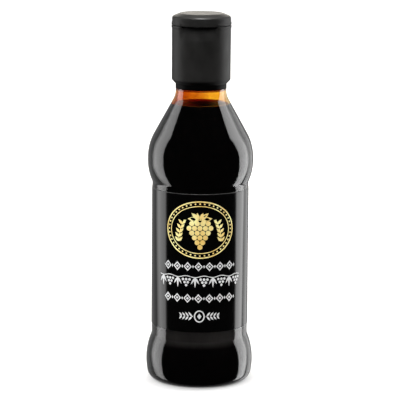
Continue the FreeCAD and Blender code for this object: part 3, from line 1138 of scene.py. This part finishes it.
lid = turned("flip_lid", lid_section(), cap_black, segments=240)
draw_in(lid.data, skirt_top_z, lid_top_z - lid_chamfer[1], lambda z: 0.0)
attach(lid, "root")
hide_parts("cap_lid")

# %% [markdown]
# ## The hinge
# At the back a short strap joins the lid to the skirt: this is the thin bending hinge. A bent plane
# with Solidify would do. Four corners swept round a part of a turn give the strap closed at once, and
# a Bevel modifier rounds its edges.

# %% Make the hinge strap
def hinge_strap(span, thickness, edge, columns=24):
    work = bmesh.new()
    rings = []
    for k in range(columns + 1):
        turn = math.radians(span * (k / columns - 0.5) - cap_turn)
        across, along = math.sin(turn) * MM, math.cos(turn) * MM
        rings.append([work.verts.new((radius * across, radius * along, z * MM)) for radius, z in (
            (lip_r, hinge_foot_z), (lip_r + thickness, hinge_foot_z),
            (lip_r + thickness, hinge_head_z), (lip_r, hinge_head_z))])
    for one, two in zip(rings, rings[1:]):
        for k in range(4):
            work.faces.new((one[k], one[(k + 1) % 4], two[(k + 1) % 4], two[k]))
    work.faces.new(rings[0])
    work.faces.new(rings[-1][::-1])
    mesh = bpy.data.meshes.new("hinge_strap")
    work.to_mesh(mesh)
    work.free()
    face_outwards(mesh)
    mesh.materials.append(cap_black)
    piece = new_object("hinge_strap", mesh)
    rounding = piece.modifiers.new("rounding", "BEVEL")
    rounding.width = edge * MM
    rounding.segments = 2
    return piece


hinge = hinge_strap(span=40.0, thickness=0.5, edge=0.12)
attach(hinge, "root")
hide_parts("cap_hinge")
print(f"{hinge.name}: {len(hinge.data.polygons)} faces before its edges are rounded")

# %% [markdown]
# ## The floor
# The bottle stands on white paper, in a soft shadow of its own. Real paper under these lamps would
# turn grey, and the shadow would fall to one side. So the floor gives off its own white light, which
# only the eye sees, and is dimmed in rings round the bottle. It shows in no reflection.

# %% Make the floor
shadow_r = 20.0
shadow_edge = 4.5
shadow_reach = 13.0
shadow_tones = (0.44, 0.62)
shadow_end = (150.0, 800.0)
floor_size = 12.0


def floor_material():
    """White to the eye, darkest under the bottle, and paler from ring to ring."""
    material = bpy.data.materials.new("pale floor")
    material.use_nodes = True
    tree = material.node_tree
    tree.nodes.clear()
    path = tree.nodes.new("ShaderNodeLightPath")
    seen = maths(tree, "MAXIMUM", path.outputs["Is Camera Ray"], path.outputs["Is Transmission Ray"])
    away = from_axis(tree)
    edge_r = shadow_r + shadow_edge
    under = ramp(tree, away, shadow_r, edge_r)
    beside = ramp(tree, away, edge_r, shadow_r + shadow_reach, *shadow_tones)
    strength = ramp(tree, away, *shadow_end, maths(tree, "MULTIPLY", under, beside), 1.0)
    paper = node(tree, "ShaderNodeBsdfDiffuse", (0.6, 0.6, 0.6, 1))
    glow = node(tree, "ShaderNodeEmission", (1, 1, 1, 1), maths(tree, "MULTIPLY", seen, strength))
    both = node(tree, "ShaderNodeAddShader", paper.outputs[0], glow.outputs[0])
    out = tree.nodes.new("ShaderNodeOutputMaterial")
    link(tree, both.outputs[0], out.inputs["Surface"])
    return material


bpy.ops.mesh.primitive_plane_add(size=floor_size)
floor = bpy.context.object
floor.name = "floor"
floor.data.materials.append(floor_material())
floor.visible_glossy = False
floor.visible_shadow = False
print(f"floor: {floor_size} m wide, darkest within {shadow_r} mm of the axis")

# %% [markdown]
# ## The lights
# A dark glossy thing is lit by what it reflects. Small lamps would show on it as dots. Two tall soft
# boxes a little behind it, one on each side, give the long bands, and the room in front stays dark.
# Each box fades at its sides and towards its foot. The foot lies lower than the bottle's own, since the
# curve under the shoulder reflects what is down there. The far side is trimmed there, so that the
# corner of the base keeps a dark line. A dim wall carries on from the right box. Two warm lights stand
# above and behind, and a small bright one overhead only shows as a glint. The print and the cap are
# lit by a large soft light in front that is kept out of reflections. Lamps are placed in metres.

# %% Set the lights
def soft_light(name, place, aim, size, radiance, colour=(1, 1, 1), hidden=()):
    """A rectangular lamp of a given brightness per area, turned towards a point."""
    lamp = bpy.data.lights.new(name, "AREA")
    lamp.shape = "RECTANGLE"
    lamp.size, lamp.size_y = size
    lamp.energy = radiance * math.pi * size[0] * size[1]
    lamp.color = colour
    item = new_object(name, lamp)
    item.location = place
    item.rotation_euler = (Vector(aim) - Vector(place)).to_track_quat("-Z", "Y").to_euler()
    for ray in ("camera", "transmission", *hidden):
        setattr(item, "visible_" + ray, False)
    print(f"{name}: {size[0]:.2f} by {size[1]:.2f} m, radiance {radiance}")
    return item


box_distance = 1.0
box_foot, box_full, box_pivot, box_head = -1.0, -0.6, 0.6, 1.7
box_height = box_head - box_foot
full_share = (box_full - box_foot) / box_height
trim_share = 0.33


def fade_out(lamp, side, near_fade, far_fade, trim):
    """Fades a box towards its sides and foot, by shares of its size, and trims its low far side."""
    lamp.use_nodes = True
    tree = lamp.node_tree
    parts = split(tree, tree.nodes.new("ShaderNodeNewGeometry").outputs["Parametric"])
    across, up = parts["X"], parts["Y"]
    if side < 0:
        across = maths(tree, "SUBTRACT", 1.0, across)
    rise = ramp(tree, across, 0.0, near_fade)
    cut = ramp(tree, up, full_share, trim_share, trim, 0.0)
    fall = ramp(tree, maths(tree, "ADD", across, cut), 1.0 - far_fade, 1.0, 1.0, 0.0)
    sides = maths(tree, "MULTIPLY", rise, fall)
    share = maths(tree, "MULTIPLY", sides, ramp(tree, up, 0.0, full_share))
    link(tree, share, tree.nodes["Emission"].inputs["Strength"])


def side_box(name, side, near, far, radiance, fades, trim=0.0, lean=0.0):
    """A tall box between two angles, from the front, that leans about a point at pivot height."""
    ends = []
    for angle in (near, far):
        turn = math.radians(angle)
        ends.append(Vector((side * math.sin(turn), -math.cos(turn), 0.0)) * box_distance)
    middle = (ends[0] + ends[1]) / 2
    size = ((ends[0] - ends[1]).length, box_height)
    item = soft_light(name, (middle.x, middle.y, box_pivot), (0.0, 0.0, box_pivot), size, radiance)
    item.rotation_euler.rotate_axis("Z", math.radians(lean))
    lift = (box_foot + box_head) / 2 - box_pivot
    item.location += item.rotation_euler.to_matrix() @ Vector((0.0, lift, 0.0))
    fade_out(item.data, side, *fades, trim)


side_box("left soft box", -1, 86, 130, radiance=2.8, fades=(0.12, 0.35), trim=0.4)
side_box("right soft box", 1, 86, 125, radiance=4.0, fades=(0.12, 0.25), trim=0.3, lean=10)
side_box("right wall", 1, 121, 148, radiance=1.0, fades=(0.1, 0.1), lean=10)
soft_light("soft box above", (0.0, 0.45, 1.5), aim=(0.0, 0.1, 0.18), size=(1.2, 0.8), radiance=3.0,
           colour=(1.0, 0.94, 0.84))
soft_light("back card", (0.0, 1.5, 0.5), aim=(0.0, 0.0, 0.2), size=(1.0, 0.5), radiance=4.1,
           colour=(1.0, 0.95, 0.85))
soft_light("small box overhead", (0.0, -0.3, 1.25), aim=(0.0, 0.0, 0.18), size=(0.25, 0.35),
           radiance=240.0, hidden=("diffuse",))
soft_light("front fill", (-0.6, -1.5, 0.9), aim=(0.0, 0.0, 0.08), size=(1.6, 1.2), radiance=4.4,
           hidden=("glossy",))

# %% [markdown]
# ## The world
# Round the bottle is a studio: white behind it, and dark where it could be reflected. Walls could be
# built for that, but each would light the bottle too. The world can tell the kinds of ray apart: it is
# white to the camera and through clear pieces, and to all other rays a dark room, paler at the back.

# %% Set the world
room_light = (0.012, 0.35)
room_turn = (0.0, 0.7)
backdrop_edge = (-0.6, -0.1)


def make_world():
    """White to the camera and through clear pieces, and a dark room to everything that reflects."""
    world = bpy.data.worlds.new("white studio")
    bpy.context.scene.world = world
    world.use_nodes = True
    tree = world.node_tree
    tree.nodes.clear()
    path = tree.nodes.new("ShaderNodeLightPath")
    ahead = split(tree, tree.nodes.new("ShaderNodeTexCoord").outputs["Generated"])["Y"]
    behind = ramp(tree, ahead, *backdrop_edge)
    through = maths(tree, "MULTIPLY", path.outputs["Is Transmission Ray"], behind)
    seen = maths(tree, "MAXIMUM", path.outputs["Is Camera Ray"], through)
    room = ramp(tree, ahead, *room_turn, *room_light)
    strength = node(tree, "ShaderNodeMix", seen, room, 1.0).outputs[0]
    light = node(tree, "ShaderNodeBackground", (1, 1, 1, 1), strength)
    out = tree.nodes.new("ShaderNodeOutputWorld")
    link(tree, light.outputs[0], out.inputs["Surface"])
    return world


print("world:", make_world().name)

# %% [markdown]
# ## The camera
# The bottle is seen from a little above. A short lens close by would make the lid look wide and the
# foot narrow. A long lens from over a metre away keeps the sides almost upright.

# %% Place the camera
def place_camera(place, aim, lens, lean):
    """A camera at a place in metres, turned towards aim, rolled by lean degrees."""
    data = bpy.data.cameras.new("camera")
    data.lens = lens
    data.sensor_width = 36.0
    camera = new_object("camera", data)
    turn = (Vector(aim) - Vector(place)).to_track_quat("-Z", "Y").to_matrix().to_4x4()
    roll = Matrix.Rotation(math.radians(lean), 4, "Z")
    camera.matrix_world = Matrix.Translation(place) @ turn @ roll
    bpy.context.scene.camera = camera
    print(f"camera: {lens} mm lens, {math.dist(place, aim):.2f} m away")


place_camera(place=(0.0, -1.170, 0.302), aim=(-0.0001, 0.0, 0.0920), lens=211.8, lean=0.44)
bpy.context.scene.view_settings.view_transform = "Standard"
